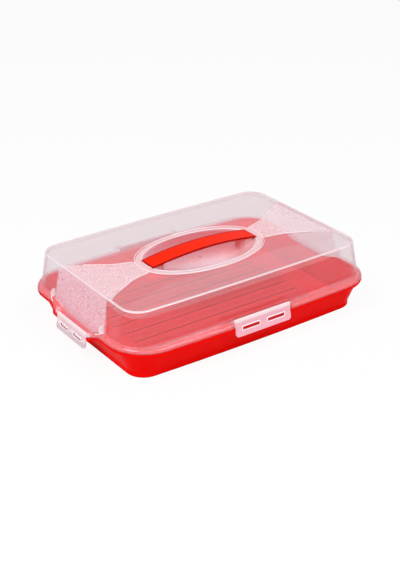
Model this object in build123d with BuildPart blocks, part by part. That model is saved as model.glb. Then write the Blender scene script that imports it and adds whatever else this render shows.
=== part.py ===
"""Oblong cake carrier: a flared tray with a rim ledge, a clear lift-off hood with a dished top,
an arched handle with two round feet, and four clips hinged on the hood's skirt.

The origin is at the middle of the foot on the surface the carrier stands on. X runs along the
length, Y across the width and Z up. Sizes are in millimetres."""

from build123d import *
from math import atan, degrees
import os

os.makedirs("parts", exist_ok=True)

# --- Rim, where the hood meets the tray -------------------------------------------------------
rim_length = 398.0          # outside of the tray's wall at the rim
rim_width = 274.0
rim_corner = 41.0
rim_height = 43.5           # top of the ledge above the table
bow_long = 4.2              # how far a long side bows outward at its middle
bow_short = 0.5
dip_depth = 9.2             # the rim is lower at the middle of each short end
dip_half_flat = 38.0
dip_half_width = 65.0
dip_blend = 12.0            # radius where the ramps meet the level stretches
ear_bulge = 6.0             # each dipped end also reaches outward as an ear
ear_blend = 14.0

# --- Tray -------------------------------------------------------------------------------------
foot_inset = 13.7           # the wall leans outward by this much from foot to rim
foot_band_height = 7.4
tray_wall = 2.1
floor_underside = 4.5
floor_thickness = 2.2
foot_ring_width = 3.0
upstand_height = 4.5        # wall above the ledge
ledge_reach = 7.6           # ledge beyond the outside of the wall
ledge_corner = 57.0
ledge_thickness = 2.6
rib_pitch = 26.7            # raised strips along the floor
rib_width = 9.2
rib_height = 1.0
rib_length = 286.0
rib_count = 8
foot_chamfer = 0.8
tray_setback = 0.2          # apron and ledge behind a clip, inside the skirt's wall there
apron_thickness = 4.0

# --- Hood -------------------------------------------------------------------------------------
hood_height = 97.4          # top edge above the table
hood_wall = 1.8
hood_end_inset = 0.8        # foot of the hood inside the outside of the tray's wall at the ends
hood_side_inset = 5.7       # and along the long sides
hood_bow = 3.0              # bow of the hood's long sides
hood_foot_corner = 36.0
hood_draft = 0.17           # inward lean per unit of height
hood_edge_radius = 1.5
dish_depth = 6.4            # the oval ring lies this far below the top edge
dish_margin = 3.0           # level border round the dish
end_step = 3.0              # the dish starts this far down at the short ends
ring_length = 200.6
ring_width = 127.0
bowl_length = 179.4
bowl_width = 110.4
bowl_floor_length = 128.0
bowl_floor_width = 66.0
bowl_knee_length = 158.0      # size of the bowl part way down
bowl_knee_width = 91.0
bowl_knee_depth = 7.0
bowl_depth = 11.0

# --- Flange and skirt of the hood -------------------------------------------------------------
rim_gap = 0.3               # hood above the ledge
flange_height = 7.0         # flange top above the ledge
flange_thickness = 2.0
skirt_thickness = 2.0
skirt_setback = 0.7         # ledge shows this much beyond the skirt
shoulder_radius = 4.0
gusset_place = 65.5         # stiffening fins beside the hood's dipped ends
gusset_thickness = 1.6
gusset_reach = 7.0
gusset_height = 11.0
gusset_shoulder = 6.6       # height at which a fin's outer edge turns inward
gusset_tip = 4.2            # reach of a fin at its top

# --- Handle -----------------------------------------------------------------------------------
strap_length = 177.0
strap_width = 29.5
strap_end_rise = 2.1        # strap's ends above the oval ring
strap_arch = 7.5            # crown above the strap's ends
strap_end_thickness = 1.9
strap_crown_thickness = 2.6
foot_place = 77.0           # distance of each round foot from the middle
neck_radius = 11.5
plug_radius = 15.5
plug_drop = 17.0            # plugs reach this far below the ring
plug_gap = 0.3              # under the hood's wall
neck_gap = 0.15

# --- Clips, on the long sides and on the short ends -------------------------------------------
pin_radius = 1.5
pin_gap = 0.05
pin_reach = 4.0
cheek_gap = 1.0             # between a clip's side and the cheek that holds its pin
cheek_thickness = 5.0
barrel_gap = 0.4
lug_gap = 0.4
lug_height = 2.9
slot_height = 4.0
clip_corner = 4.5
clip_thickness = 1.9
bead_width = 1.3
bead_height = 0.5
bead_corner = 1.8           # rounding of the bead's outer corners
lug_root = 1.0              # the lugs start this far inside the apron

side_clip_width = 92.0
side_axis_out = 2.2         # beyond the outside of the tray's wall
side_axis_up = 8.5          # above the ledge
side_barrel_radius = 2.2
side_slot_drop = 11.5
side_slot_lean = 3.6
side_clip_drop = 22.0
side_clip_lean = 5.8
side_slot_inner = 7.3
side_slot_outer = 34.2
side_pocket_out = 1.6
side_pocket_wall = 1.05
land_height = 4.3           # raised land on the flange behind each side clip
land_half_width = 52.5
land_root = 8.4             # the land starts this far inside the tray's wall

end_clip_width = 78.0
end_axis_out = 9.7
end_axis_up = 4.3
end_barrel_radius = 2.1
end_slot_drop = 10.9
end_slot_lean = 3.5
end_clip_drop = 20.3
end_clip_lean = 6.0
end_slot_inner = 7.8
end_slot_outer = 27.1
end_pocket_out = 8.1
end_pocket_wall = 2.0

# --- Values worked out from the sizes above ---------------------------------------------------
half_length = rim_length / 2
half_width = rim_width / 2
flange_top = rim_height + flange_height
far = rim_length            # a reach beyond every piece
skirt_reach = ledge_reach - skirt_setback
flange_underside = flange_height - flange_thickness
floor_top = floor_underside + floor_thickness
ring_top = hood_height - dish_depth
bowl_floor = ring_top - bowl_depth
hood_lean = hood_draft * (hood_height - flange_top)
hood_length_top = rim_length - 2 * (hood_end_inset + hood_lean + dish_margin - bow_short)
hood_width_top = rim_width - 2 * (hood_side_inset + hood_lean + dish_margin - hood_bow)
strap_end_top = ring_top + strap_end_rise
plug_bottom = ring_top - plug_drop


class BowedRectangle(BaseSketchObject):
    """Rounded rectangle whose sides bow outward as shallow arcs, then grown or shrunk evenly."""

    _applies_to = [BuildSketch._tag]

    def __init__(self, half_x, half_y, bow_x, bow_y, corner, growth=0.0, mode=Mode.ADD):
        with BuildSketch(mode=Mode.PRIVATE) as outline:
            with BuildLine():
                ThreePointArc((-half_x, -half_y), (0, -half_y - bow_y), (half_x, -half_y))
                ThreePointArc((half_x, -half_y), (half_x + bow_x, 0), (half_x, half_y))
                ThreePointArc((half_x, half_y), (0, half_y + bow_y), (-half_x, half_y))
                ThreePointArc((-half_x, half_y), (-half_x - bow_x, 0), (-half_x, -half_y))
            make_face()
            if growth:
                offset(amount=growth, kind=Kind.INTERSECTION)
            fillet(outline.vertices(), corner + growth)
        super().__init__(outline.face(), mode=mode)


def wall_outline(inset):
    """Outline of the tray's wall at the rim, moved inward by an inset."""
    return BowedRectangle(half_length, half_width, bow_short, bow_long, rim_corner, -inset)


def hood_outline(height, inset=0.0):
    """Outline of the hood's wall at a height, or of its inside face when inset by the wall."""
    inward = hood_draft * (height - flange_top) + inset
    half_x = half_length - hood_end_inset
    half_y = half_width - hood_side_inset
    return BowedRectangle(half_x, half_y, bow_short, hood_bow, hood_foot_corner, -inward)


def drafted_hood(low, high, inset=0.0):
    """Solid of the hood's wall between two heights, leaning inward as it rises."""
    with BuildPart() as shape:
        with BuildSketch(Plane.XY.offset(low)):
            hood_outline(low, inset)
        extrude(amount=high - low, taper=degrees(atan(hood_draft)))
    return shape.part


def rim_plan(reach):
    """Plan of the rim at a reach beyond the tray's wall, with the ear at each short end."""
    edge_x = half_length + reach
    with BuildSketch() as plan:
        BowedRectangle(half_length, half_width, bow_short, bow_long, ledge_corner - ledge_reach, reach)
        for side in (-1, 1):
            with BuildLine():
                Polyline(
                    (side * (edge_x - 2 * ear_bulge), -dip_half_width),
                    (side * edge_x, -dip_half_width),
                    (side * (edge_x + ear_bulge), -dip_half_flat),
                    (side * (edge_x + ear_bulge), dip_half_flat),
                    (side * edge_x, dip_half_width),
                    (side * (edge_x - 2 * ear_bulge), dip_half_width),
                    close=True,
                )
            make_face()
        fillet(plan.vertices().filter_by(lambda v: abs(v.Y) < dip_half_width + ear_bulge), ear_blend)
    return plan.sketch


def rim_line(level):
    """Points of the rim's level seen along X, lower between the ramps."""
    top = rim_height + level
    return (
        (-far, top),
        (-dip_half_width, top),
        (-dip_half_flat, top - dip_depth),
        (dip_half_flat, top - dip_depth),
        (dip_half_width, top),
        (far, top),
    )


def rim_band(low, high):
    """Band that follows the dipped rim between two levels measured from the ledge's top."""
    with BuildSketch(Plane.YZ) as band:
        with BuildLine():
            upper = FilletPolyline(*rim_line(high), radius=dip_blend)
            lower = FilletPolyline(*rim_line(low), radius=dip_blend)
            Line(upper @ 0, lower @ 0)
            Line(upper @ 1, lower @ 1)
        make_face()
    return band.sketch


def trough(half_span, rise, half_flat):
    """Corners of a shallow trough whose flat bottom lies at the ring's height."""
    return (
        (-half_span, hood_height * 2),
        (-half_span, ring_top + rise),
        (-half_flat, ring_top),
        (half_flat, ring_top),
        (half_span, ring_top + rise),
        (half_span, hood_height * 2),
    )


def bowl_shape(grow):
    """Solid of the oval grip bowl, grown sideways and downward to wrap a wall round it."""
    with BuildPart() as shape:
        with BuildSketch(Plane.XY.offset(ring_top)):
            Ellipse(bowl_length / 2 + grow, bowl_width / 2 + grow)
        with BuildSketch(Plane.XY.offset(ring_top - bowl_knee_depth - grow)):
            Ellipse(bowl_knee_length / 2 + grow, bowl_knee_width / 2 + grow)
        with BuildSketch(Plane.XY.offset(bowl_floor - grow)):
            Ellipse(bowl_floor_length / 2 + grow, bowl_floor_width / 2 + grow)
        loft(ruled=True)
    return shape.part


def ridge(part):
    """Edges round the upper face of a rim plate, without the creases that cross it along X."""
    upper = part.faces().filter_by(lambda face: face.normal_at().Z > 0.5)
    return upper.edges().filter_by(Axis.X, reverse=True)


class ClipSeat:
    """Place and sizes of one clip. Its own frame has X along the pin and -Y outward."""

    def __init__(self, name, turn, wall_reach, ledge_z, axis, half_clip, barrel, slot, plate, pocket):
        self.name = name
        self.turn = turn
        self.ledge_z = ledge_z
        self.axis_reach = wall_reach + axis[0]
        self.axis_z = ledge_z + axis[1]
        self.half_clip = half_clip
        self.barrel = barrel
        self.slot_drop, self.slot_lean, self.slot_inner, self.slot_outer = slot
        self.drop, self.lean = plate
        self.pocket_reach = wall_reach + pocket[0]
        self.pocket_wall = pocket[1]
        self.half_pocket = half_clip + cheek_gap

    def placed(self, shape):
        """Move a shape from the clip's own frame to its place on the carrier."""
        outward = Vector(0, -self.axis_reach, self.axis_z).rotate(Axis.Z, self.turn)
        return shape.moved(Location(outward, (0, 0, self.turn)))

    def block(self, x_range, reach_range, z_range):
        """Box between two reaches from the carrier's middle, placed at this seat."""
        y_range = [self.axis_reach - reach for reach in reversed(reach_range)]
        z_range = [z - self.axis_z for z in z_range]
        spans = (x_range, y_range, z_range)
        sizes = [high - low for low, high in spans]
        centre = [(low + high) / 2 for low, high in spans]
        return self.placed(Pos(*centre) * Box(*sizes, mode=Mode.PRIVATE))


def side_seat(name, turn):
    return ClipSeat(
        name,
        turn,
        wall_reach=half_width + bow_long,
        ledge_z=rim_height,
        axis=(side_axis_out, side_axis_up),
        half_clip=side_clip_width / 2,
        barrel=side_barrel_radius,
        slot=(side_slot_drop, side_slot_lean, side_slot_inner, side_slot_outer),
        plate=(side_clip_drop, side_clip_lean),
        pocket=(side_pocket_out, side_pocket_wall),
    )


def end_seat(name, turn):
    return ClipSeat(
        name,
        turn,
        wall_reach=half_length,
        ledge_z=rim_height - dip_depth,
        axis=(end_axis_out, end_axis_up),
        half_clip=end_clip_width / 2,
        barrel=end_barrel_radius,
        slot=(end_slot_drop, end_slot_lean, end_slot_inner, end_slot_outer),
        plate=(end_clip_drop, end_clip_lean),
        pocket=(end_pocket_out, end_pocket_wall),
    )


seats = [
    side_seat("front_clip", 0),
    side_seat("back_clip", 180),
    end_seat("right_clip", 90),
    end_seat("left_clip", -90),
]

# --- Tray -------------------------------------------------------------------------------------
with BuildPart() as ledge:
    with BuildSketch():
        add(rim_plan(ledge_reach))
    extrude(amount=rim_height + upstand_height)
    extrude(rim_band(-ledge_thickness, 0), amount=far, both=True, mode=Mode.INTERSECT)
    for seat in seats:
        around = (-seat.half_pocket, seat.half_pocket)
        add(seat.block(around, (seat.pocket_reach - tray_setback, far), (0, far)), mode=Mode.SUBTRACT)

wall_top = rim_height - ledge_thickness / 2     # the wall stands upright from here


def flared_wall(inset):
    """Solid inside the flared wall, between the foot band and the upright part of the rim."""
    with BuildPart() as shape:
        with BuildSketch(Plane.XY.offset(foot_band_height)):
            wall_outline(foot_inset + inset)
        with BuildSketch(Plane.XY.offset(wall_top)):
            wall_outline(inset)
        loft(ruled=True)
    return shape.part


with BuildPart() as tray_cavity:
    add(flared_wall(tray_wall))
    with BuildSketch(Plane.XY.offset(floor_top)):
        wall_outline(foot_inset + tray_wall)
    extrude(amount=foot_band_height - floor_top)
    with BuildSketch(Plane.XY.offset(wall_top)):
        wall_outline(tray_wall)
    extrude(amount=hood_height)

# Upright wall at the rim, the ledge round it, and an apron behind each clip with its two lugs
with BuildPart() as tray_rim:
    with BuildSketch(Plane.XY.offset(wall_top)):
        wall_outline(0)
    extrude(amount=rim_height + upstand_height - wall_top)
    add(ledge.part)
    for seat in seats:
        slot_z = seat.axis_z - seat.slot_drop
        face_reach = seat.pocket_reach - tray_setback
        apron = seat.block(
            (-seat.half_pocket, seat.half_pocket),
            (face_reach - apron_thickness, face_reach),
            (slot_z - slot_height / 2, seat.ledge_z - ledge_thickness / 2),
        )
        add(apron)
        lug_reach = seat.axis_reach + seat.slot_lean - clip_thickness - lug_gap
        half_lug = lug_height / 2
        for side in (-1, 1):
            ends = sorted((side * (seat.slot_inner + lug_gap), side * (seat.slot_outer - lug_gap)))
            add(seat.block(ends, (face_reach - lug_root, lug_reach), (slot_z - half_lug, slot_z + half_lug)))

with BuildPart() as base_tray:
    # Flared wall on a low foot band
    add(flared_wall(0))
    with BuildSketch():
        wall_outline(foot_inset)
    extrude(amount=foot_band_height)
    chamfer(base_tray.faces().sort_by(Axis.Z)[0].edges(), foot_chamfer)
    add(tray_rim.part)
    extrude(rim_band(-far, upstand_height), amount=far, both=True, mode=Mode.INTERSECT)
    add(tray_cavity.part, mode=Mode.SUBTRACT)
    with BuildSketch():
        wall_outline(foot_inset + foot_ring_width)
    extrude(amount=floor_underside, mode=Mode.SUBTRACT)

    # Raised strips along the floor
    with BuildSketch(Plane.XY.offset(floor_top)):
        with GridLocations(0, rib_pitch, 1, rib_count):
            SlotOverall(rib_length, rib_width)
    extrude(amount=rib_height)
base_tray.part.label = "base_tray"

# --- Hood -------------------------------------------------------------------------------------
with BuildPart() as flange:
    with BuildSketch():
        add(rim_plan(skirt_reach))
    extrude(amount=flange_top)
    extrude(rim_band(rim_gap, flange_height), amount=far, both=True, mode=Mode.INTERSECT)
    fillet(ridge(flange), shoulder_radius)

# Hollow under the flange, with the skirt round it, the wall behind each clip left standing
with BuildPart() as flange_hollow:
    with BuildSketch():
        add(rim_plan(skirt_reach - skirt_thickness))
    extrude(amount=flange_top)
    extrude(rim_band(-far, flange_underside), amount=far, both=True, mode=Mode.INTERSECT)
    for seat in seats:
        half_cheeks = seat.half_pocket + cheek_thickness
        inner_reach = seat.pocket_reach - seat.pocket_wall
        add(seat.block((-half_cheeks, half_cheeks), (inner_reach, far), (0, far)), mode=Mode.SUBTRACT)

# Raised land behind each side clip, whose ends are the cheeks that hold the pins
with BuildPart() as lands:
    with BuildSketch(Plane.XZ):
        with BuildLine():
            Polyline(
                (-land_half_width - land_height, flange_top),
                (-land_half_width, flange_top + land_height),
                (land_half_width, flange_top + land_height),
                (land_half_width + land_height, flange_top),
                (land_half_width + land_height, flange_top - flange_thickness / 2),
                (-land_half_width - land_height, flange_top - flange_thickness / 2),
                close=True,
            )
        make_face()
    extrude(amount=far, both=True)
    with BuildSketch():
        add(rim_plan(skirt_reach))
        Rectangle(2 * far, 2 * (half_width + bow_long - land_root), mode=Mode.SUBTRACT)
    extrude(amount=hood_height, mode=Mode.INTERSECT)

# Hollow over the hood's top: slopes fall from the long edges and the short ends to the ring
with BuildPart() as dish:
    with BuildSketch(Plane.YZ):
        Polygon(*trough(hood_width_top / 2, dish_depth, ring_width / 2), align=None)
    extrude(amount=far, both=True)
    with BuildSketch(Plane.XZ):
        Polygon(*trough(hood_length_top / 2, dish_depth - end_step, ring_length / 2), align=None)
    extrude(amount=far, both=True, mode=Mode.INTERSECT)
    with BuildSketch():
        hood_outline(hood_height, dish_margin)
    extrude(amount=2 * hood_height, mode=Mode.INTERSECT)

hood_low = rim_height - dip_depth
with BuildPart() as hood_cavity:
    add(drafted_hood(hood_low - hood_wall, hood_height - hood_wall, hood_wall))
    add(dish.part.moved(Pos(0, 0, -hood_wall)), mode=Mode.SUBTRACT)
    add(bowl_shape(hood_wall), mode=Mode.SUBTRACT)

with BuildPart() as lid:
    add(drafted_hood(hood_low, hood_height))
    fillet(lid.faces().sort_by(Axis.Z)[-1].edges(), hood_edge_radius)
    extrude(rim_band(flange_underside, far), amount=far, both=True, mode=Mode.INTERSECT)
    add(flange.part)
    add(lands.part)

    # Fins beside the dipped part of each end
    for side_x in (-1, 1):
        root = side_x * (half_length - hood_end_inset - hood_wall)
        outer = root + side_x * (gusset_reach + hood_wall)
        for side_y in (-1, 1):
            with BuildSketch(Plane.XZ.offset(side_y * gusset_place)):
                with BuildLine():
                    Polyline(
                        (root, flange_top - flange_thickness),
                        (outer, flange_top - flange_thickness),
                        (outer, flange_top + gusset_shoulder),
                        (root + side_x * (gusset_tip + hood_wall), flange_top + gusset_height),
                        (root, flange_top + gusset_height),
                        close=True,
                    )
                make_face()
            extrude(amount=gusset_thickness / 2, both=True)

    add(flange_hollow.part, mode=Mode.SUBTRACT)
    add(hood_cavity.part, mode=Mode.SUBTRACT)
    add(dish.part, mode=Mode.SUBTRACT)
    add(bowl_shape(0), mode=Mode.SUBTRACT)

    # Holes for the handle's feet
    with Locations((-foot_place, 0, bowl_floor), (foot_place, 0, bowl_floor)):
        Cylinder(neck_radius + neck_gap, 3 * bowl_depth, mode=Mode.SUBTRACT)

    # Pocket, rebate for the barrel and blind pin holes at each clip
    for seat in seats:
        around = (-seat.half_pocket, seat.half_pocket)
        clear = seat.barrel + barrel_gap
        pin_end = seat.half_pocket + pin_reach + barrel_gap
        hole = Rot(0, 90, 0) * Cylinder(pin_radius + pin_gap, 2 * pin_end, mode=Mode.PRIVATE)
        add(seat.block(around, (seat.pocket_reach, far), (0, hood_height)), mode=Mode.SUBTRACT)
        add(
            seat.block(around, (seat.axis_reach - clear, far), (seat.axis_z - clear, hood_height)),
            mode=Mode.SUBTRACT,
        )
        add(seat.placed(hole), mode=Mode.SUBTRACT)
lid.part.label = "lid"

# --- Handle -----------------------------------------------------------------------------------
half_strap = strap_length / 2
crown_top = strap_end_top + strap_arch
end_underside = strap_end_top - strap_end_thickness
foot_places = ((-foot_place, 0), (foot_place, 0))

# Round plugs that nest under the bowl's wall and the ring
with BuildPart() as plugs:
    with BuildSketch(Plane.XY.offset(plug_bottom)):
        with Locations(*foot_places):
            Circle(plug_radius)
    extrude(amount=ring_top - hood_wall - plug_gap - plug_bottom)
    add(bowl_shape(hood_wall + plug_gap), mode=Mode.SUBTRACT)

with BuildPart() as handle:
    with BuildSketch(Plane.XY.offset(plug_bottom)):
        with Locations(*foot_places):
            Circle(neck_radius)
    extrude(amount=crown_top - plug_bottom)
    # The necks end under the strap's upper face
    with BuildSketch(Plane.XZ):
        with BuildLine():
            ThreePointArc((-half_strap, strap_end_top), (0, crown_top), (half_strap, strap_end_top))
            Polyline(
                (half_strap, strap_end_top),
                (half_strap + plug_radius, 0),
                (-half_strap - plug_radius, 0),
                (-half_strap, strap_end_top),
            )
        make_face()
    extrude(amount=strap_width, both=True, mode=Mode.INTERSECT)
    with BuildSketch(Plane.XZ):
        with BuildLine():
            ThreePointArc((-half_strap, strap_end_top), (0, crown_top), (half_strap, strap_end_top))
            Line((half_strap, strap_end_top), (half_strap, end_underside))
            ThreePointArc(
                (half_strap, end_underside),
                (0, crown_top - strap_crown_thickness),
                (-half_strap, end_underside),
            )
            Line((-half_strap, end_underside), (-half_strap, strap_end_top))
        make_face()
    extrude(amount=strap_width / 2, both=True)
    add(plugs.part)
handle.part.label = "handle"


# --- Clips ------------------------------------------------------------------------------------
def clip(seat):
    """Clip in its own frame: a plate with two slots under a barrel that ends in two pins."""
    with BuildPart() as body:
        with BuildSketch(Plane.YZ):
            with BuildLine():
                Polyline(
                    (-seat.barrel, 0),
                    (-seat.slot_lean, -seat.slot_drop),
                    (-seat.lean, -seat.drop),
                    (-seat.lean + clip_thickness, -seat.drop),
                    (-seat.slot_lean + clip_thickness, -seat.slot_drop),
                    (-seat.barrel + clip_thickness, 0),
                    close=True,
                )
            make_face()
        extrude(amount=seat.half_clip, both=True)
        fillet(body.edges().filter_by(Axis.Y).group_by(Axis.Z)[0], clip_corner)

        # Raised bead round each slot, then the slots
        slot_centre = (seat.slot_inner + seat.slot_outer) / 2
        slot_length = seat.slot_outer - seat.slot_inner
        bead = Plane((0, -seat.slot_lean, -seat.slot_drop), x_dir=(1, 0, 0), z_dir=(0, -1, 0))
        with BuildSketch(bead):
            with Locations((-slot_centre, 0), (slot_centre, 0)):
                RectangleRounded(slot_length + 2 * bead_width, slot_height + 2 * bead_width, bead_corner)
        extrude(amount=bead_height)
        with BuildSketch(bead):
            with Locations((-slot_centre, 0), (slot_centre, 0)):
                Rectangle(slot_length, slot_height)
        extrude(amount=2 * clip_thickness, both=True, mode=Mode.SUBTRACT)

        with Locations(Rot(0, 90, 0)):
            Cylinder(seat.barrel, 2 * seat.half_clip)
            Cylinder(pin_radius, 2 * (seat.half_pocket + pin_reach))
    return body.part


export_step(base_tray.part, "parts/base_tray.step")
export_step(lid.part, "parts/lid.step")
export_step(handle.part, "parts/handle.step")
for seat in seats:
    piece = seat.placed(clip(seat))
    piece.label = seat.name
    export_step(piece, f"parts/{seat.name}.step")
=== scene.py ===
import bpy
import math
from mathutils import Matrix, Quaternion, Vector


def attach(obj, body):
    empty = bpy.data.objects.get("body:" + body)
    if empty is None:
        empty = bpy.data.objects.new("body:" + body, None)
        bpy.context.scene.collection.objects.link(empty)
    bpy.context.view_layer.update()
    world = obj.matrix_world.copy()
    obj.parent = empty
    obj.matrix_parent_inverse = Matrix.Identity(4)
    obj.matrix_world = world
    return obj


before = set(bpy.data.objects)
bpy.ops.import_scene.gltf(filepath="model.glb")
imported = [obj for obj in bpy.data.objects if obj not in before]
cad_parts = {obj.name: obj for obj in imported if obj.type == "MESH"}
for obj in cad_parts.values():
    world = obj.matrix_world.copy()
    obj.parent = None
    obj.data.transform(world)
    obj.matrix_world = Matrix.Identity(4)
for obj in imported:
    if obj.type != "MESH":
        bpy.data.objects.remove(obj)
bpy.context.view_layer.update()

# --- Studio -----------------------------------------------------------------------------------
# White paper under the carrier and white all round it, with a square softbox at either side of
# the camera and a low one in front. A long lens looks down from beyond the near left corner.
camera_place = Vector((-0.8271, -1.1974, 0.7650))
camera_target = Vector((-0.01281, -0.01704, 0.04512))
camera_roll = -0.0119
focal_length = 71.77            # millimetres, as the sensor's height is
sensor_height = 36
softbox_size = 1.1
softboxes = (                   # name, place and power in watts
    ("right_softbox", (0.54, -1.49, 1.62), 21),
    ("left_softbox", (-1.50, -0.27, 1.70), 30),
    ("front_softbox", (-1.35, -1.85, 0.45), 5),
)
room_light = 0.34               # what the white surround adds to the softboxes
full_white = 1.0                # the strength that shows as white
paper_size = 8
paper_glow = 0.92               # how much of the paper's look is plain white


def linear(hex_colour):
    """Linear RGBA of an sRGB hex colour."""
    channels = [int(hex_colour[i:i + 2], 16) / 255 for i in (0, 2, 4)]
    return [c / 12.92 if c <= 0.04045 else ((c + 0.055) / 1.055) ** 2.4 for c in channels] + [1.0]


def add_node(tree, kind, inputs=(), **settings):
    """One node with its settings. Each input is fed by a node or a socket, or set to a value."""
    node = tree.nodes.new(kind)
    for name, value in settings.items():
        setattr(node, name, value)
    for name, value in inputs.items() if isinstance(inputs, dict) else enumerate(inputs):
        if isinstance(value, bpy.types.Node):
            value = value.outputs[0]
        if isinstance(value, bpy.types.NodeSocket):
            tree.links.new(value, node.inputs[name])
        else:
            node.inputs[name].default_value = value
    return node


def new_material(name):
    """An empty node material with its tree."""
    material = bpy.data.materials.new(name)
    material.use_nodes = True
    material.node_tree.nodes.clear()
    return material, material.node_tree


def seen_directly(tree):
    """1 for rays from the camera, from gloss and through clear walls, 0 for the light itself."""
    path = add_node(tree, "ShaderNodeLightPath").outputs
    seen = path["Is Camera Ray"]
    for ray in ("Is Glossy Ray", "Is Transmission Ray"):
        seen = add_node(tree, "ShaderNodeMath", (seen, path[ray]), operation="MAXIMUM")
    return seen


scene = bpy.context.scene
scene.view_settings.view_transform = "Standard"
scene.cycles.transparent_max_bounces = 32      # the far clip is seen through a dozen clear faces
lens = bpy.data.cameras.new("studio_camera")
lens.sensor_fit = "VERTICAL"
lens.sensor_height = sensor_height
lens.lens = focal_length
camera = bpy.data.objects.new("studio_camera", lens)
scene.collection.objects.link(camera)
camera.location = camera_place
camera.rotation_mode = "QUATERNION"
aim = (camera_target - camera_place).to_track_quat("-Z", "Y")
camera.rotation_quaternion = aim @ Quaternion((0, 0, 1), camera_roll)
scene.camera = camera

scene.world = bpy.data.worlds.new("white_surround")
scene.world.use_nodes = True
surround = scene.world.node_tree
surround.nodes.clear()
white = linear("ffffff")
lighting = add_node(surround, "ShaderNodeBackground", {"Color": white, "Strength": room_light})
shown = add_node(surround, "ShaderNodeBackground", {"Color": white, "Strength": full_white})
either = add_node(surround, "ShaderNodeMixShader", (seen_directly(surround), lighting, shown))
add_node(surround, "ShaderNodeOutputWorld", {"Surface": either})

for name, place, power in softboxes:
    lamp = bpy.data.lights.new(name, "AREA")
    lamp.shape = "SQUARE"
    lamp.size = softbox_size
    lamp.energy = power
    softbox = bpy.data.objects.new(name, lamp)
    scene.collection.objects.link(softbox)
    softbox.location = place
    softbox.rotation_mode = "QUATERNION"
    softbox.rotation_quaternion = (-Vector(place)).to_track_quat("-Z", "Y")

bpy.ops.object.select_all(action="DESELECT")
bpy.ops.mesh.primitive_plane_add(size=paper_size, location=(0, 0, 0))
paper = bpy.context.object
paper.name = "floor_paper"
# Matt paper, shown nearly white where it is looked at, and keeping the carrier's faint shadow
material, tree = new_material("white_background_paper")
share = add_node(tree, "ShaderNodeMath", (seen_directly(tree), paper_glow), operation="MULTIPLY")
sheet = add_node(tree, "ShaderNodeBsdfDiffuse", {"Color": linear("f4f4f4")})
glow = add_node(tree, "ShaderNodeEmission", {"Color": white, "Strength": full_white})
mixed = add_node(tree, "ShaderNodeMixShader", (share, sheet, glow))
add_node(tree, "ShaderNodeOutputMaterial", {"Surface": mixed})
paper.data.materials.append(material)


# --- Tray -------------------------------------------------------------------------------------
# The tray is injection moulded in one shot of opaque red polypropylene, in a mould with a fine
# satin finish. It keeps its CAD shape. The flow of the plastic leaves the colour slightly uneven.
strip_pitch = 0.0267            # from one raised strip on the tray's floor to the next
strip_half_width = 0.0049
strip_line = 0.0008             # half the width of the painted shade line at a strip's side
strip_top = (0.0072, 0.0009)    # its height, and how far the shade spreads above and below it
floor_half_length = 0.1415
floor_half_width = 0.101
foot_edge = (0.0012, 0.002)     # the painted shade at the foot's edge fades out between these heights
wall_top = 0.034                # the outer wall is plain red from here up
long_wall_start = 0.1           # the long walls stand further from the middle than this
inner_wall = (0.006, 0.040)     # heights of the inner wall's foot and top
faces_inwards = -0.02           # an inner wall's normal times its place is less than this
# Shadows on the lugs: middle height, way out and start, way along the lug and half length
lugs = (
    (0.0423, "sideways", 0.1432, "lengthways", 0.036),
    (0.0295, "lengthways", 0.2082, "sideways", 0.029),
)
lug_shadow = 0.0016             # how far a shadow reaches above and below its middle height
# How much painted shade each place gets, from plain red, 0, to the darkest, 1
strip_line_shade_depth = 0.72
strip_shade_depth = 0.26
foot_shade_depth = 0.75
long_wall_shade_depth = 0.16
inner_wall_shade_depths = (0.26, 0.05)        # at its foot and at its top


def red_polypropylene(name, fresh, deep, roughness, shade):
    """Moulded polypropylene: full even colour, a waxy satin gloss and a faint moulded grain.

    The shade function gives a mask of painted shade on corners and edges, where the colour is
    darkest."""
    material, tree = new_material(name)
    place = add_node(tree, "ShaderNodeTexCoord").outputs["Object"]
    # Clouds of colour about 25 mm across, where the melt ran and cooled unevenly
    clouds = add_node(tree, "ShaderNodeTexNoise", {"Vector": place, "Scale": 40.0, "Detail": 2.0})
    # A Mix node numbers its sockets: 2 and 3 for numbers, 4 and 5 for vectors, 6 and 7 for colours
    colour = add_node(
        tree, "ShaderNodeMix", {0: clouds, 6: linear(fresh), 7: linear(deep)}, data_type="RGBA",
    )
    # Painted shade: where the shade mask says, the colour turns to a dark red
    shaded = add_node(
        tree, "ShaderNodeMix",
        {0: shade(tree, place), 6: colour.outputs[2], 7: linear("a00406")}, data_type="RGBA",
    )
    # The mould's grain is about 0.2 mm; it is drawn at 0.8 mm, the finest that shows
    grain = add_node(tree, "ShaderNodeTexNoise", {"Vector": place, "Scale": 1200.0, "Detail": 3.0})
    sheen = add_node(
        tree, "ShaderNodeMapRange",
        {"Value": grain, "To Min": roughness - 0.06, "To Max": roughness + 0.08},
    )
    bump = add_node(
        tree, "ShaderNodeBump", {"Height": grain, "Strength": 0.12, "Distance": 0.00008},
    )
    plastic = add_node(
        tree, "ShaderNodeBsdfPrincipled",
        {"Base Color": shaded.outputs[2], "Roughness": sheen, "Normal": bump, "IOR": 1.49,
         "Specular IOR Level": 0.02},
    )
    add_node(tree, "ShaderNodeOutputMaterial", {"Surface": plastic})
    return material


def dress(node, material):
    """Give a CAD node its finished material."""
    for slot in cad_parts[node].material_slots:
        slot.link = "OBJECT"
        slot.material = material


def distances(tree, place):
    """Distances from the middle along the carrier's length and its width, then y and height."""
    x, y, z = add_node(tree, "ShaderNodeSeparateXYZ", (place,)).outputs
    lengthways = add_node(tree, "ShaderNodeMath", (x,), operation="ABSOLUTE")
    sideways = add_node(tree, "ShaderNodeMath", (y,), operation="ABSOLUTE")
    return lengthways, sideways, y, z


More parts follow.
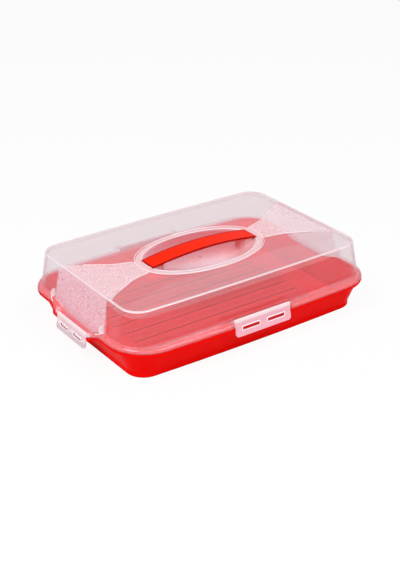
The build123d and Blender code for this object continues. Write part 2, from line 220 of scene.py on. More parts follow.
def tray_shade(tree, place):
    """Painted shade: dark lines beside the raised strips, shade across each strip, darker inner
    walls, long walls and foot, and the lugs' shadow.
    """
    lengthways, sideways, y, z = distances(tree, place)
    # Painted shade: each pitch darkens towards its back, with a thin dark line beside each strip
    in_pitch = add_node(tree, "ShaderNodeMath", (y, strip_pitch), operation="FLOORED_MODULO")
    off_centre = add_node(
        tree, "ShaderNodeMath", (in_pitch, strip_pitch / 2), operation="SUBTRACT",
    )
    off_centre = add_node(tree, "ShaderNodeMath", (off_centre,), operation="ABSOLUTE")
    line = add_node(
        tree, "ShaderNodeMath", (off_centre, strip_half_width, strip_line), operation="COMPARE",
    )
    line = add_node(tree, "ShaderNodeMath", (line, strip_line_shade_depth), operation="MULTIPLY")
    strip_shade = add_node(tree, "ShaderNodeMath", (in_pitch, in_pitch), operation="MULTIPLY")
    strip_shade = add_node(
        tree, "ShaderNodeMath", (strip_shade, strip_shade_depth / strip_pitch ** 2), operation="MULTIPLY",
    )
    strips = add_node(tree, "ShaderNodeMath", (line, strip_shade), operation="MAXIMUM")
    floor = ((z, *strip_top), (lengthways, 0, floor_half_length), (sideways, 0, floor_half_width))
    for socket, middle, spread in floor:
        on_it = add_node(tree, "ShaderNodeMath", (socket, middle, spread), operation="COMPARE")
        strips = add_node(tree, "ShaderNodeMath", (strips, on_it), operation="MULTIPLY")
    # Painted shade at the foot's edge, and on the long walls, darker towards the foot
    foot = add_node(
        tree, "ShaderNodeMapRange",
        {"Value": z, "From Min": foot_edge[0], "From Max": foot_edge[1], "To Min": foot_shade_depth,
         "To Max": 0.0},
    )
    wall = add_node(
        tree, "ShaderNodeMapRange",
        {"Value": z, "From Min": 0.0, "From Max": wall_top, "To Min": long_wall_shade_depth, "To Max": 0.0},
    )
    long_wall = add_node(
        tree, "ShaderNodeMath", (sideways, long_wall_start), operation="GREATER_THAN",
    )
    wall = add_node(tree, "ShaderNodeMath", (wall, long_wall), operation="MULTIPLY")
    # Painted shade on the inner walls, which face the middle: darkest where they meet the floor
    normal = add_node(tree, "ShaderNodeNewGeometry").outputs["Normal"]
    outward = add_node(tree, "ShaderNodeVectorMath", (place, (1, 1, 0)), operation="MULTIPLY")
    outward = add_node(tree, "ShaderNodeVectorMath", (normal, outward), operation="DOT_PRODUCT")
    inward = add_node(
        tree, "ShaderNodeMath", (outward.outputs["Value"], faces_inwards), operation="LESS_THAN",
    )
    hollow = add_node(
        tree, "ShaderNodeMapRange",
        {"Value": z, "From Min": inner_wall[0], "From Max": inner_wall[1],
         "To Min": inner_wall_shade_depths[0], "To Max": inner_wall_shade_depths[1]},
    )
    hollow = add_node(tree, "ShaderNodeMath", (hollow, inward), operation="MULTIPLY")
    deep = strips
    for mask in (foot, wall, hollow):
        deep = add_node(tree, "ShaderNodeMath", (deep, mask), operation="MAXIMUM")
    # The upper half of each lug lies in its clip's shadow
    ways = {"lengthways": lengthways, "sideways": sideways}
    for height, out, begins, along, half_length in lugs:
        lug = add_node(tree, "ShaderNodeMath", (z, height, lug_shadow), operation="COMPARE")
        is_out = add_node(tree, "ShaderNodeMath", (ways[out], begins), operation="GREATER_THAN")
        near = add_node(tree, "ShaderNodeMath", (ways[along], half_length), operation="LESS_THAN")
        for mask in (is_out, near):
            lug = add_node(tree, "ShaderNodeMath", (lug, mask), operation="MULTIPLY")
        deep = add_node(tree, "ShaderNodeMath", (deep, lug), operation="MAXIMUM")
    return deep


dress(
    "base_tray",
    red_polypropylene("moulded_red_polypropylene", "f20903", "e60702", 0.4, tray_shade),
)


# --- Hood -------------------------------------------------------------------------------------
# The hood is moulded in clear styrene, glossy as glass, in one piece with its flange and skirt.
# The mould is blasted where an oval ring, two waisted panels and both short walls are frosted.
top_level = 0.0885              # everything above this belongs to the hood's dished top
ring_outer = (0.1003, 0.0635)   # half axes of the frosted ring's two ovals
ring_inner = (0.0897, 0.0552)
# Each waisted panel's half width, at its distances from the middle, as far as the dish's border
panel_half_widths = (
    (0.0994, 0.0202), (0.118, 0.0248), (0.1316, 0.0294), (0.1398, 0.035), (0.162, 0.0478),
    (0.1739, 0.0561), (0.187, 0.067),
)
curve_span = 0.2                # the length that a panel's curve takes as 1
short_wall = (0.194, 0.0065)    # its middle, and how far the frost spreads inwards and outwards
short_wall_half_width = (-0.106, 0.0723)    # change with height, and what it would be at height 0
short_wall_top = 0.0955
short_wall_frost = 0.72         # how much frost it has, where the top has 1
speckle_centre = 0.5            # the value that the noise of the pits swings about
wall_speckle = 2.6              # how strong the speckle is on fully frosted walls; panels have 1
milk_swing = 1.8                # how far the speckle makes the milk denser and thinner
milk_middle = 0.52
border_corner = (0.1627, 0.0953, 0)         # where the top border's corners are centred
border_radius = 0.0252
border_level = 0.0958
border_bow = 0.003              # how far the long sides bow out, and the half length they bow over
border_half_length = 0.19
edge_highlight_strength = 0.8                # how bright an edge's painted highlight is, seen straight on
fin_place = (0.0655, 0.0009)    # distance from the middle, and half thickness
fin_start = 0.1985
fin_foot = 0.0506
# The cheeks' direction along their side, distance from its middle, and the wall they stand on
cheeks = (
    ("sideways", 0.0425, "lengthways", 0.2035, 0.3),        # at the short ends
    ("lengthways", 0.0495, "sideways", 0.1385, 0.045),      # and at the long sides, less milky
)
cheek_half_thickness = 0.0032
dip_depth = 0.0092              # how far the rim dips at the short ends
dip_slope = (0.065, 0.038)      # it slopes down between these distances from the middle
dip_start = 0.19
flange_top = 0.0512             # heights where the rim doesn't dip
lip_top = 0.0446
flange_haze = 0.09
bowl_floor = 0.0775
wall_haze = 0.022
top_haze = 0.065                # more than the walls have
bowl_lean = (-3.5, -6.0, 0)     # how fast the bowl's gloss turns, for each metre from its middle
mirror_straight = 0.05          # the share mirrored straight on, and what a glancing angle adds
mirror_glancing = 0.9
mirror_power = 5.0              # how late the mirroring grows, and what the bowl adds to that
mirror_power_in_bowl = -2.2
outline_power = 9.0             # how thin the grey outline of walls seen edge on is
backlit_share = 0.2             # the share of the frost's milk that shows the light behind it


def clear_styrene(name, body_colour="f8f8f8", base_haze=0.0):
    """Clear styrene with blasted patches that look milky and hide what lies behind them."""
    material, tree = new_material(name)
    place = add_node(tree, "ShaderNodeTexCoord").outputs["Object"]
    lengthways, sideways, y, z = distances(tree, place)
    ways = {"lengthways": lengthways, "sideways": sideways}
    on_top = add_node(tree, "ShaderNodeMath", (z, top_level), operation="GREATER_THAN")

    # Oval ring: the distance from the middle, scaled by an oval's half axes, is 1 on its rim
    in_oval = []
    for half_length, half_width in (ring_outer, ring_inner):
        scaled = add_node(
            tree, "ShaderNodeMapping",
            {"Vector": place, "Scale": (1 / half_length, 1 / half_width, 0)},
        )
        distance = add_node(tree, "ShaderNodeVectorMath", (scaled,), operation="LENGTH")
        in_oval.append(add_node(
            tree, "ShaderNodeMath", (distance.outputs["Value"], 1.0), operation="LESS_THAN",
        ))
    in_outer, in_inner = in_oval
    ring = add_node(tree, "ShaderNodeMath", (in_outer, in_inner), operation="SUBTRACT")
    ring = add_node(tree, "ShaderNodeMath", (ring, on_top), operation="MULTIPLY")

    # Waisted panels, from the ring to the dish's border
    reach = add_node(tree, "ShaderNodeMath", (lengthways, curve_span), operation="DIVIDE")
    waist = add_node(tree, "ShaderNodeFloatCurve", {"Value": reach})
    shape = [(distance / curve_span, width / curve_span) for distance, width in panel_half_widths]
    curve = waist.mapping.curves[0]
    curve.points[0].location = shape[0]
    curve.points[1].location = shape[-1]
    for point in shape[1:-1]:
        curve.points.new(*point)
    waist.mapping.update()
    half_width = add_node(tree, "ShaderNodeMath", (waist, curve_span), operation="MULTIPLY")
    panel = add_node(tree, "ShaderNodeMath", (sideways, half_width), operation="LESS_THAN")
    panel = add_node(
        tree, "ShaderNodeMath", (panel, in_outer), operation="SUBTRACT", use_clamp=True,
    )
    in_dish = add_node(
        tree, "ShaderNodeMath", (lengthways, panel_half_widths[-1][0]), operation="LESS_THAN",
    )
    for mask in (in_dish, on_top):
        panel = add_node(tree, "ShaderNodeMath", (panel, mask), operation="MULTIPLY")

    # Short walls: frosted between their corners, wider towards the foot
    half_width = add_node(
        tree, "ShaderNodeMath", (z, *short_wall_half_width), operation="MULTIPLY_ADD",
    )
    end_wall = add_node(tree, "ShaderNodeMath", (sideways, half_width), operation="LESS_THAN")
    between = add_node(tree, "ShaderNodeMath", (lengthways, *short_wall), operation="COMPARE")
    below_border = add_node(tree, "ShaderNodeMath", (z, short_wall_top), operation="LESS_THAN")
    for factor in (between, below_border, short_wall_frost):
        end_wall = add_node(tree, "ShaderNodeMath", (end_wall, factor), operation="MULTIPLY")
    speckled = add_node(tree, "ShaderNodeMath", (panel, end_wall), operation="MAXIMUM")
    frost = add_node(tree, "ShaderNodeMath", (speckled, ring), operation="MAXIMUM")
    # Blasting pits of 0.1 to 0.3 mm, drawn at 1.4 mm so that the speckle shows, most on the walls
    pits = add_node(tree, "ShaderNodeTexNoise", {"Vector": place, "Scale": 720.0, "Detail": 1.0})
    contrast = add_node(
        tree, "ShaderNodeMath", (end_wall, wall_speckle, panel), operation="MULTIPLY_ADD",
    )
    speckle = add_node(tree, "ShaderNodeMath", (pits, speckle_centre), operation="SUBTRACT")
    speckle = add_node(tree, "ShaderNodeMath", (speckle, contrast), operation="MULTIPLY")
    cloud = add_node(
        tree, "ShaderNodeMath", (speckle, milk_swing, milk_middle), operation="MULTIPLY_ADD",
        use_clamp=True,
    )
    milk = add_node(tree, "ShaderNodeMath", (cloud, frost), operation="MULTIPLY")
    pitted = add_node(tree, "ShaderNodeMath", (pits, speckled), operation="MULTIPLY")
    bump = add_node(
        tree, "ShaderNodeBump", {"Height": pitted, "Strength": 0.6, "Distance": 0.0003},
    )

    # A painted highlight lies milky white along the rounded top border, whose long sides bow out a
    # little
    bow = add_node(tree, "ShaderNodeMath", (lengthways, lengthways), operation="MULTIPLY")
    bow = add_node(
        tree, "ShaderNodeMath", (bow, -border_bow / border_half_length ** 2, border_bow),
        operation="MULTIPLY_ADD",
    )
    straight = add_node(tree, "ShaderNodeMath", (sideways, bow), operation="SUBTRACT")
    corner = add_node(tree, "ShaderNodeCombineXYZ", (lengthways, straight, 0.0))
    corner = add_node(tree, "ShaderNodeVectorMath", (corner, border_corner), operation="SUBTRACT")
    corner = add_node(tree, "ShaderNodeVectorMath", (corner, (0, 0, 0)), operation="MAXIMUM")
    from_corner = add_node(tree, "ShaderNodeVectorMath", (corner,), operation="LENGTH")
    border = add_node(
        tree, "ShaderNodeMath", (from_corner.outputs["Value"], border_radius),
        operation="GREATER_THAN",
    )
    high = add_node(tree, "ShaderNodeMath", (z, border_level), operation="GREATER_THAN")
    border = add_node(tree, "ShaderNodeMath", (border, high), operation="MULTIPLY")
    # The same painted highlight lies along the four fins
    fin = add_node(tree, "ShaderNodeMath", (sideways, *fin_place), operation="COMPARE")
    for socket, limit in ((lengthways, fin_start), (z, fin_foot)):
        past = add_node(tree, "ShaderNodeMath", (socket, limit), operation="GREATER_THAN")
        fin = add_node(tree, "ShaderNodeMath", (fin, past), operation="MULTIPLY")
    painted_edge_highlight = add_node(tree, "ShaderNodeMath", (border, fin), operation="MAXIMUM")
    # Seen edge on, the painted highlight fades, and they look grey, not bright
    slant = add_node(tree, "ShaderNodeLayerWeight", {"Blend": 0.5}).outputs["Facing"]
    bright = add_node(tree, "ShaderNodeMath", (slant, slant), operation="MULTIPLY")
    bright = add_node(
        tree, "ShaderNodeMath", (bright, -edge_highlight_strength, edge_highlight_strength), operation="MULTIPLY_ADD",
    )
    painted_edge_highlight = add_node(tree, "ShaderNodeMath", (painted_edge_highlight, bright), operation="MULTIPLY")
    # The cheeks that hold the clips' pins are thick, and a little milky
    milky_cheeks = 0.0
    for along, middle, out, wall, share in cheeks:
        cheek = add_node(
            tree, "ShaderNodeMath", (ways[along], middle, cheek_half_thickness),
            operation="COMPARE",
        )
        past_wall = add_node(tree, "ShaderNodeMath", (ways[out], wall), operation="GREATER_THAN")
        cheek = add_node(tree, "ShaderNodeMath", (cheek, past_wall), operation="MULTIPLY")
        milky_cheeks = add_node(
            tree, "ShaderNodeMath", (cheek, share, milky_cheeks), operation="MULTIPLY_ADD",
        )

    # Flange and skirt are thick, so they are a little hazy, and they dip at the short ends
    dipped = add_node(
        tree, "ShaderNodeMapRange",
        {"Value": sideways, "From Min": dip_slope[0], "From Max": dip_slope[1], "To Min": 0.0,
         "To Max": dip_depth},
    )
    at_ends = add_node(tree, "ShaderNodeMath", (lengthways, dip_start), operation="GREATER_THAN")
    dipped = add_node(tree, "ShaderNodeMath", (dipped, at_ends), operation="MULTIPLY")
    level = add_node(tree, "ShaderNodeMath", (z, dipped), operation="ADD")
    flange = add_node(tree, "ShaderNodeMath", (level, flange_top), operation="LESS_THAN")
    hazy_flange = add_node(tree, "ShaderNodeMath", (flange, flange_haze), operation="MULTIPLY")
    lip = add_node(tree, "ShaderNodeMath", (level, lip_top), operation="LESS_THAN")
    # The bowl is a little hazy, and a painted reflection makes it paler towards its front
    in_bowl = add_node(tree, "ShaderNodeMath", (z, bowl_floor), operation="GREATER_THAN")
    in_bowl = add_node(tree, "ShaderNodeMath", (in_bowl, in_inner), operation="MULTIPLY")
    bowl_haze_and_reflection = add_node(
        tree, "ShaderNodeMapRange",
        {"Value": y, "From Min": 0.03, "From Max": -0.04, "To Min": 0.08, "To Max": 0.6},
    )
    bowl = add_node(tree, "ShaderNodeMath", (in_bowl, bowl_haze_and_reflection), operation="MULTIPLY")
    haze = add_node(
        tree, "ShaderNodeMath", (on_top, top_haze, wall_haze + base_haze),
        operation="MULTIPLY_ADD",
    )
    for mask in (painted_edge_highlight, milky_cheeks, hazy_flange, bowl, haze):
        milk = add_node(tree, "ShaderNodeMath", (milk, mask), operation="MAXIMUM")
    above_lip = add_node(tree, "ShaderNodeMath", (1.0, lip), operation="SUBTRACT")
    milk = add_node(tree, "ShaderNodeMath", (milk, above_lip), operation="MULTIPLY")

    # The bowl is one smooth hollow, so its gloss follows an even curve
    leaning = add_node(
        tree, "ShaderNodeVectorMath", (place, bowl_lean, (0, 0, 1)), operation="MULTIPLY_ADD",
    )
    hollow = add_node(tree, "ShaderNodeVectorMath", (leaning,), operation="NORMALIZE")
    facing = add_node(tree, "ShaderNodeMix", {0: in_bowl, 4: bump, 5: hollow}, data_type="VECTOR")
    facing = facing.outputs[1]
    # Thin walls: light goes straight through, and both faces reflect more at a glancing angle
    glance = add_node(tree, "ShaderNodeLayerWeight", {"Normal": facing, "Blend": 0.5})
    glance = glance.outputs["Facing"]
    power = add_node(
        tree, "ShaderNodeMath", (in_bowl, mirror_power_in_bowl, mirror_power),
        operation="MULTIPLY_ADD",
    )
    mirror = add_node(tree, "ShaderNodeMath", (glance, power), operation="POWER")
    mirror = add_node(
        tree, "ShaderNodeMath", (mirror, mirror_glancing, mirror_straight),
        operation="MULTIPLY_ADD",
    )
    # Smooth styrene starts at a roughness of 0.02, and frost, bowl and top are duller
    rough = 0.02
    for mask, added in ((frost, 0.35), (in_bowl, 0.18), (on_top, 0.1)):
        rough = add_node(tree, "ShaderNodeMath", (mask, added, rough), operation="MULTIPLY_ADD")
    # Walls seen edge on are looked through lengthwise, so they draw a grey outline
    edge_on = add_node(tree, "ShaderNodeMath", (glance, outline_power), operation="POWER")
    shine = add_node(
        tree, "ShaderNodeMix", {0: edge_on, 6: linear("ffeffc"), 7: linear("8f8b8c")},
        data_type="RGBA",
    )
    gloss = add_node(
        tree, "ShaderNodeBsdfAnisotropic",
        {"Color": shine.outputs[2], "Roughness": rough, "Normal": facing},
    )
    # The flange and the bowl are clearest, a painted red reflection tints the bowl's far side,
    # a painted shadow darkens the gap at the skirt's lip, and the outline is grey
    thick = add_node(tree, "ShaderNodeMath", (flange, in_bowl), operation="MAXIMUM")
    far = add_node(
        tree, "ShaderNodeMapRange",
        {"Value": y, "From Min": 0.005, "From Max": 0.03, "To Min": 0.0, "To Max": 1.0},
    )
    far = add_node(tree, "ShaderNodeMath", (far, in_bowl), operation="MULTIPLY")
    tint = linear(body_colour)
    # ecb4c6 is the painted red reflection, and d06a6a the painted shadow at the lip
    for mask, colour in ((thick, "fffcfc"), (far, "ecb4c6"), (lip, "d06a6a"), (edge_on, "a29e9f")):
        tint = add_node(
            tree, "ShaderNodeMix", {0: mask, 6: tint, 7: linear(colour)}, data_type="RGBA",
        ).outputs[2]
    pane = add_node(tree, "ShaderNodeBsdfTransparent", {"Color": tint})
    # The blasted walls are thicker than the top, and their milk is a little mauve
    mauve = add_node(
        tree, "ShaderNodeMix", {0: end_wall, 6: linear("fcf0f5"), 7: linear("e4d6e6")},
        data_type="RGBA",
    )
    chalk = add_node(tree, "ShaderNodeBsdfDiffuse", {"Color": mauve.outputs[2], "Normal": bump})
    backlit = add_node(
        tree, "ShaderNodeBsdfTranslucent", {"Color": linear("fceff5"), "Normal": bump},
    )
    blasted = add_node(tree, "ShaderNodeMixShader", (backlit_share, chalk, backlit))
    body = add_node(tree, "ShaderNodeMixShader", (milk, pane, blasted))
    glossy_body = add_node(tree, "ShaderNodeMixShader", (mirror, body, gloss))
    # The light itself reaches the inside undimmed, as it nearly does through thin clear walls
    path = add_node(tree, "ShaderNodeLightPath").outputs
    let_in = add_node(tree, "ShaderNodeBsdfTransparent", {"Color": white})
    unseen = add_node(
        tree, "ShaderNodeMath", (path["Is Shadow Ray"], path["Is Diffuse Ray"]),
        operation="MAXIMUM",
    )
    lit = add_node(tree, "ShaderNodeMixShader", (unseen, glossy_body, let_in))
    add_node(tree, "ShaderNodeOutputMaterial", {"Surface": lit})
    return material


dress("lid", clear_styrene("moulded_clear_styrene"))


# --- Polished lines ---------------------------------------------------------------------------
# The edges of the frosted patches and of the rim's dips are raised as fine round-topped lines, so
# the hood stacks without scuffing. They are part of its moulding in styrene, polished; their white
# is a painted highlight.
line_radius = 0.00055
line_level = 0.091              # the height of the hood's top at the ring
end_slope = 0.0034 / 0.0874     # the top rises this much towards the short ends
just_proud = 0.0001
# The crest where the flange begins to dip, then its rounded outer edge down to the clip's cheek
dip_edge = (
    (0.2000, 0.0668, 0.0512), (0.2030, 0.0664, 0.0511), (0.2053, 0.0652, 0.0502),
    (0.2060, 0.0620, 0.0488), (0.2071, 0.0570, 0.0473), (0.2084, 0.0510, 0.0453),
    (0.2095, 0.0462, 0.0436),
)


def highlight_plastic(name):
    """Raised plastic, drawn near white as a painted highlight, a pale line where it catches the
    light.
    """
    material, tree = new_material(name)
    place = add_node(tree, "ShaderNodeTexCoord").outputs["Object"]
    # The polish waves over about 2 mm
    ripple = add_node(tree, "ShaderNodeTexNoise", {"Vector": place, "Scale": 500.0, "Detail": 1.0})
    gloss = add_node(tree, "ShaderNodeMapRange", {"Value": ripple, "To Min": 0.08, "To Max": 0.2})
    plastic = add_node(
        tree, "ShaderNodeBsdfPrincipled",
        {"Base Color": linear("fff6f8"), "Roughness": gloss, "IOR": 1.52, "Alpha": 0.95},
    )
    add_node(tree, "ShaderNodeOutputMaterial", {"Surface": plastic})
    return material


def top_height(distance):
    """Height of the hood's top, at a distance from the middle towards a short end."""
    return line_level + end_slope * max(0, distance - ring_outer[0])


def finish_line(line, name, plastic, radius=line_radius, body="hood"):
    """Turn a curve into a round line of plastic, as a mesh piece that rides on a body."""
    line.name = name
    line.data.bevel_depth = radius
    line.data.bevel_resolution = 2
    bpy.ops.object.select_all(action="DESELECT")
    line.select_set(True)
    bpy.context.view_layer.objects.active = line
    bpy.ops.object.convert(target="MESH")
    bpy.ops.object.transform_apply(location=True, rotation=True, scale=True)
    bpy.ops.object.shade_smooth()
    line.data.materials.clear()
    line.data.materials.append(plastic)
    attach(line, body)


def raised_line(points, name):
    """A fine raised line along one smooth NURBS curve."""
    bpy.ops.object.select_all(action="DESELECT")
    bpy.ops.curve.primitive_nurbs_path_add(radius=1, location=(0, 0, 0))
    line = bpy.context.object
    spline = line.data.splines[0]
    bpy.ops.object.mode_set(mode="EDIT")
    bpy.ops.curve.select_all(action="DESELECT")
    spline.points[-1].select = True
    for _ in range(len(points) - len(spline.points)):
        bpy.ops.curve.extrude()
    bpy.ops.object.mode_set(mode="OBJECT")
    spline = line.data.splines[0]
    for point, place in zip(spline.points, points):
        point.co = (*place, 1)
    spline.order_u = 3
    spline.use_endpoint_u = True
    finish_line(line, name, highlight_styrene)


highlight_styrene = highlight_plastic("styrene_line_painted_highlight")
for name, (half_length, half_width) in (
    ("ring_outer_line", ring_outer), ("ring_inner_line", ring_inner),
):
    bpy.ops.object.select_all(action="DESELECT")
    bpy.ops.curve.primitive_bezier_circle_add(radius=1, location=(0, 0, line_level + just_proud))
    oval_line = bpy.context.object
    oval_line.data.resolution_u = 32
    bpy.ops.object.mode_set(mode="EDIT")
    bpy.ops.curve.select_all(action="SELECT")
    bpy.ops.transform.resize(value=(half_length, half_width, 1))
    bpy.ops.object.mode_set(mode="OBJECT")
    finish_line(oval_line, name, highlight_styrene)

panel_edge = [
    (distance, half_width, top_height(distance) + just_proud)
    for distance, half_width in panel_half_widths
]
for end, end_name in ((-1, "left"), (1, "right")):
    for side, side_name in ((-1, "front"), (1, "back")):
        for kind, edge in (("panel_line", panel_edge), ("dip_edge_line", dip_edge)):
            points = [(end * x, side * y, z) for x, y, z in edge]
            raised_line(points, "{}_{}_{}".format(kind, end_name, side_name))


# --- Foot cups --------------------------------------------------------------------------------
# Each foot of the handle stands in a low clear cup moulded on the bowl's floor, a little wider at
# the bottom and with a turned-out lip. The cup is the hood's own styrene.
foot_offset = 0.077             # from the hood's middle to a foot's
cup_bottom_radius = 0.0152
cup_top_radius = 0.0134
cup_height = 0.0098
cup_middle = 0.0853             # the height of its middle
cup_lip = 0.0006
cup_lip_flare = 1.06
cup_wall = 0.0011
cup_smooth_angle = 0.6          # radians
# The cup is a little hazier than the hood, and is tinted pink: a painted reflection of the red
# foot
cup_plastic = clear_styrene("moulded_clear_styrene_cup", "f0b4b8", 0.06)
for side, name in ((-1, "left_foot_cup"), (1, "right_foot_cup")):
    bpy.ops.object.select_all(action="DESELECT")
    bpy.ops.mesh.primitive_cone_add(
        vertices=64, radius1=cup_bottom_radius, radius2=cup_top_radius, depth=cup_height,
        end_fill_type="NOTHING", location=(side * foot_offset, 0, cup_middle),
    )
    cup = bpy.context.object
    cup.name = name
    bpy.ops.object.mode_set(mode="EDIT")
    bpy.ops.mesh.select_all(action="DESELECT")
    bpy.ops.object.mode_set(mode="OBJECT")
    for edge in cup.data.edges:
        edge.select = all(cup.data.vertices[v].co.z > 0 for v in edge.vertices)
    bpy.ops.object.mode_set(mode="EDIT")
    bpy.ops.mesh.extrude_edges_move(TRANSFORM_OT_translate={"value": (0, 0, cup_lip)})
    bpy.ops.transform.resize(value=(cup_lip_flare, cup_lip_flare, 1))
    bpy.ops.object.mode_set(mode="OBJECT")
    bpy.ops.object.transform_apply(location=True, rotation=True, scale=True)
    wall = cup.modifiers.new("wall", "SOLIDIFY")
    wall.thickness = cup_wall
    wall.offset = -1
    bpy.ops.object.modifier_apply(modifier="wall")
    bpy.ops.object.shade_smooth_by_angle(angle=cup_smooth_angle)
    cup.data.materials.append(cup_plastic)
    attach(cup, "hood")


# --- Gate pip ---------------------------------------------------------------------------------
# The melt entered the mould through the middle of the bowl's floor, and its gate was cut off as a
# low round pip with softened edges, in the hood's styrene.
pip_radius = 0.0017
pip_height = 0.0010
pip_middle = 0.0803             # the height of its middle
pip_softening = 0.0003
bpy.ops.object.select_all(action="DESELECT")
bpy.ops.mesh.primitive_cylinder_add(
    vertices=32, radius=pip_radius, depth=pip_height, location=(0, 0, pip_middle),
)
gate_pip = bpy.context.object
gate_pip.name = "gate_pip"
bpy.ops.object.mode_set(mode="EDIT")
bpy.ops.mesh.select_all(action="SELECT")
bpy.ops.mesh.bevel(offset=pip_softening, segments=3, affect="EDGES")
bpy.ops.object.mode_set(mode="OBJECT")
bpy.ops.object.transform_apply(location=True, rotation=True, scale=True)
bpy.ops.object.shade_smooth()
# The pip takes the lines' near-white colour, a painted highlight
gate_pip.data.materials.append(highlight_styrene)
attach(gate_pip, "hood")


# --- Handle -----------------------------------------------------------------------------------
# The handle is the tray's red polypropylene again, a bowed strap on two round feet that snap
# through the hood. Its satin is a little smoother and its colour warmer than the tray's.
crown_shift = 0.0005            # the strap's bright crown lies this much towards the front
crown_half_width = 0.0129
crown_half_length = 0.0872
strap_bottom = 0.090
strap_edge_shade_depth = 0.9


def strap_edge_shade(tree, place):
    """Painted shade: the strap's edges turn down, so they are drawn darker than its crown."""
    x, y, z = add_node(tree, "ShaderNodeSeparateXYZ", (place,)).outputs
    from_crown = add_node(tree, "ShaderNodeMath", (y, crown_shift), operation="ADD")
    edges = []
    for way, reach in ((from_crown, crown_half_width), (x, crown_half_length)):
        way = add_node(tree, "ShaderNodeMath", (way,), operation="ABSOLUTE")
        edges.append(add_node(tree, "ShaderNodeMath", (way, reach), operation="GREATER_THAN"))
    edge = add_node(tree, "ShaderNodeMath", edges, operation="MAXIMUM")
    on_strap = add_node(tree, "ShaderNodeMath", (z, strap_bottom), operation="GREATER_THAN")
    for factor in (on_strap, strap_edge_shade_depth):
        edge = add_node(tree, "ShaderNodeMath", (edge, factor), operation="MULTIPLY")
    return edge


dress(
    "handle",
    red_polypropylene(
        "moulded_red_handle_polypropylene", "ff2c0a", "fc2206", 0.34, strap_edge_shade,
    ),
)


# --- Clips ------------------------------------------------------------------------------------
# Each clip is moulded in natural polypropylene without colour, milky and slightly waxy, so the
# red behind it glows through pink. Its pins turn in the hood's cheeks.
end_clip_reach = 0.19           # clips further out than this are at the short ends
end_clip_shade_fade = (0.0245, 0.0275)       # heights over which an end clip's painted shade fades out upwards
end_clip_drop = 0.0134          # the end clips hang this much lower than the side clips
barrel_bottom = 0.0499
side_slot_height = 0.0405
end_slot_height = 0.0277
side_slot_walls = (0.02075, 0.0136)     # a slot's distance from the clip's middle, half length
end_slot_walls = (0.01745, 0.0098)
slot_half_height = 0.00206
side_pin_start = 0.0463
end_pin_start = 0.0393
pin_clearness = -0.88           # what a pin takes off the plastic's cover


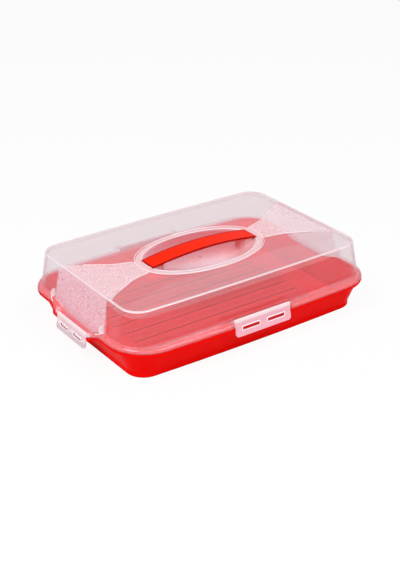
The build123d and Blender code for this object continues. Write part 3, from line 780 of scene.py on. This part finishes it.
def natural_polypropylene():
    """Uncoloured polypropylene: milky, soft gloss, half clear."""
    material, tree = new_material("moulded_natural_polypropylene")
    place = add_node(tree, "ShaderNodeTexCoord").outputs["Object"]
    lengthways, sideways, _, z = distances(tree, place)
    on_end = add_node(
        tree, "ShaderNodeMath", (lengthways, end_clip_reach), operation="GREATER_THAN",
    )
    # Side clips are pink all over. End clips are greyer below their slots, with painted shade
    low = add_node(
        tree, "ShaderNodeMapRange",
        {"Value": z, "From Min": end_clip_shade_fade[0], "From Max": end_clip_shade_fade[1]},
    )
    end_clip_shaded_colour = add_node(
        tree, "ShaderNodeMix", {0: low, 6: linear("d6bcc6"), 7: linear("f8dde3")},
        data_type="RGBA",
    )
    # The thick hinge barrel along the top scatters more light and looks nearly white
    height = add_node(
        tree, "ShaderNodeMath", (on_end, end_clip_drop, z), operation="MULTIPLY_ADD",
    )
    barrel = add_node(tree, "ShaderNodeMath", (height, barrel_bottom), operation="GREATER_THAN")
    # Painted reflection: the walls of the slots are coloured red, for the red lugs behind them
    slot_walls = []
    for slot_height, along, walls in (
        (side_slot_height, lengthways, side_slot_walls),
        (end_slot_height, sideways, end_slot_walls),
    ):
        level = add_node(
            tree, "ShaderNodeMath", (z, slot_height, slot_half_height), operation="COMPARE",
        )
        within = add_node(tree, "ShaderNodeMath", (along, *walls), operation="COMPARE")
        slot_walls.append(add_node(tree, "ShaderNodeMath", (level, within), operation="MULTIPLY"))
    slot_wall = add_node(
        tree, "ShaderNodeMix", {0: on_end, 2: slot_walls[0], 3: slot_walls[1]}, data_type="FLOAT",
    )
    colour = linear("ffc6d6")
    for mask, next_colour in (
        (on_end, end_clip_shaded_colour.outputs[2]), (barrel, linear("fff2f6")), (slot_wall, linear("c0141c")),
    ):
        colour = add_node(
            tree, "ShaderNodeMix", {0: mask, 6: colour, 7: next_colour}, data_type="RGBA",
        ).outputs[2]
    # The milkiness varies over about 6 mm with the thickness that the melt packed to
    milk = add_node(tree, "ShaderNodeTexNoise", {"Vector": place, "Scale": 160.0, "Detail": 2.0})
    cover = add_node(tree, "ShaderNodeMapRange", {"Value": milk, "To Min": 0.58, "To Max": 0.68})
    # A clip's pins are thin and lie in the hood's clear cheeks, where they hardly show
    side_pin = add_node(
        tree, "ShaderNodeMath", (lengthways, side_pin_start), operation="GREATER_THAN",
    )
    end_pin = add_node(
        tree, "ShaderNodeMath", (sideways, end_pin_start), operation="GREATER_THAN",
    )
    pin = add_node(
        tree, "ShaderNodeMix", {0: on_end, 2: side_pin, 3: end_pin}, data_type="FLOAT",
    )
    pin_cover = add_node(
        tree, "ShaderNodeMath", (pin, pin_clearness, 1.0), operation="MULTIPLY_ADD",
    )
    cover = add_node(tree, "ShaderNodeMath", (cover, pin_cover), operation="MULTIPLY")
    # A satin grain of 0.2 mm, drawn at 0.8 mm, the finest that shows
    grain = add_node(tree, "ShaderNodeTexNoise", {"Vector": place, "Scale": 1200.0, "Detail": 2.0})
    bump = add_node(
        tree, "ShaderNodeBump", {"Height": grain, "Strength": 0.15, "Distance": 0.0001},
    )
    plastic = add_node(
        tree, "ShaderNodeBsdfPrincipled",
        {"Base Color": colour, "Alpha": cover, "Normal": bump, "Roughness": 0.3, "IOR": 1.49},
    )
    add_node(tree, "ShaderNodeOutputMaterial", {"Surface": plastic})
    return material


clip_plastic = natural_polypropylene()
# Round each slot runs a rounded bead of the clip's own moulding, polished, drawn near white as a
# painted highlight
highlight_bead = highlight_plastic("polypropylene_bead_painted_highlight")
bead_radius = 0.0007
bead_overhang = 0.0014          # how far the bead stands beyond either end of its slot
bead_height = 0.0067
bead_corner = 0.0018
# Each clip's side of the carrier in degrees, its bead's distance out, its slots' height, and
# each slot's two ends
clip_slots = (
    ("front_clip", 0, 0.1473, side_slot_height, 0.0073, 0.0342),
    ("right_clip", 90, 0.2125, end_slot_height, 0.0078, 0.0271),
    ("back_clip", 180, 0.1473, side_slot_height, 0.0073, 0.0342),
    ("left_clip", 270, 0.2125, end_slot_height, 0.0078, 0.0271),
)
for clip, turn, out, height, inner, outer in clip_slots:
    dress(clip, clip_plastic)
    for half, half_name in ((-1, "left"), (1, "right")):
        # The bead begins as a plane's rim, is stood up, and is then turned to its clip's side
        bpy.ops.object.select_all(action="DESELECT")
        bpy.ops.mesh.primitive_plane_add(size=1, location=(0, 0, 0))
        bead = bpy.context.object
        bpy.ops.object.mode_set(mode="EDIT")
        bpy.ops.mesh.select_all(action="SELECT")
        bpy.ops.transform.resize(value=(outer - inner + 2 * bead_overhang, bead_height, 1))
        bpy.ops.mesh.bevel(offset=bead_corner, segments=4, affect="VERTICES")
        bpy.ops.mesh.delete(type="ONLY_FACE")
        bpy.ops.object.mode_set(mode="OBJECT")
        bead.rotation_euler = (math.radians(90), 0, 0)
        bead.location = (half * (inner + outer) / 2, -out, height)
        bpy.ops.object.transform_apply(location=True, rotation=True, scale=True)
        bead.rotation_euler = (0, 0, math.radians(turn))
        bpy.ops.object.transform_apply(location=True, rotation=True, scale=True)
        bpy.ops.object.convert(target="CURVE")
        bead_name = "{}_slot_bead_{}".format(clip, half_name)
        finish_line(bead, bead_name, highlight_bead, bead_radius, clip)
